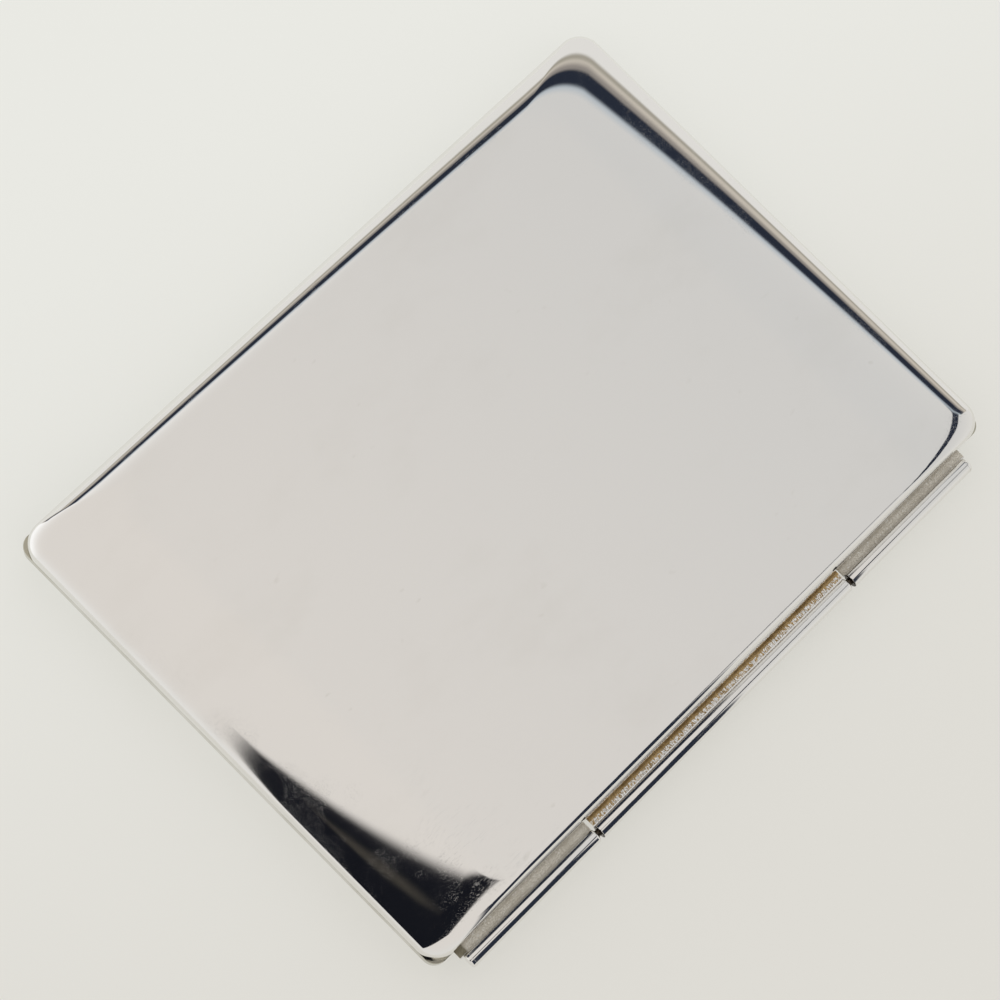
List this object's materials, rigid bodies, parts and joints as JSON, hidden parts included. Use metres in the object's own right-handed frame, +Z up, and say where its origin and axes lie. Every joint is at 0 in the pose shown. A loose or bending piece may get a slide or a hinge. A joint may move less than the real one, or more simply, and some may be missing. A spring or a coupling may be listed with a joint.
{
  "type": "business card case",
  "caption": "Slim hinged metal case for business cards: cushion-shaped lid and base shells on a three-knuckle hinge, with an inner frame, a card bail and a snap catch.",
  "frame": {"origin": "centre of the base's flat underside, where the closed case rests", "axes": "+Z up through the lid, X along the hinge, -Y towards the front edge that opens, +Y towards the hinge"},
  "size_m": [0.095, 0.0727, 0.008],
  "materials": {
    "lid_plate": "mirror-polished silver plate with fine hairline scratches",
    "base_plate": "polished silver plate, satin inside",
    "frame_plate": "plated sheet, lightly brushed",
    "tube_plate": "polished plate",
    "ribbed_brass": "fine cross ribs, plating worn through",
    "grey_strip": "matte, grainy",
    "spring_steel": "drawn wire",
    "catch_brass": "satin"
  },
  "bodies": {
    "base": {"base_shell": "base_plate", "base_inner_frame": "frame_plate", "base_knuckle_left": "tube_plate", "base_knuckle_right": "tube_plate", "base_hinge_leaf_left": "grey_strip", "base_hinge_leaf_right": "grey_strip", "hinge_pin": "spring_steel", "hinge_pin_cap_left": "tube_plate", "hinge_pin_cap_right": "tube_plate", "card_rail": "frame_plate", "bail_lug_left": "frame_plate", "bail_lug_right": "frame_plate", "bail_spring_left": "spring_steel", "bail_spring_right": "spring_steel", "catch_rivets": "catch_brass"},
    "lid": {"lid_shell": "lid_plate", "lid_hinge_leaf": "ribbed_brass", "lid_knuckle": "tube_plate"},
    "bail": {"card_bail": "spring_steel"},
    "catch": {"catch_tongue": "catch_brass"}
  },
  "joints": [
    {"name": "lid_hinge", "type": "hinge", "parent": "base", "child": "lid", "pos_m": [0, 0.0369, 0.004], "axis": [-1, 0, 0], "range_deg": [0, 180]},
    {"name": "bail_pivot", "type": "hinge", "parent": "base", "child": "bail", "pos_m": [0, 0.0262, 0.0062], "axis": [-1, 0, 0], "range_deg": [0, 45]},
    {"name": "catch_flex", "type": "hinge", "parent": "base", "child": "catch", "pos_m": [-0.0086, -0.0335, 0.0039], "axis": [0, 0, 1], "range_deg": [0, 1.5], "stiffness_Nm_per_rad": 0.01}
  ],
  "couplings": [
    {"joint": "bail_pivot", "follows": "lid_hinge", "ratio": 0.25}
  ]
}
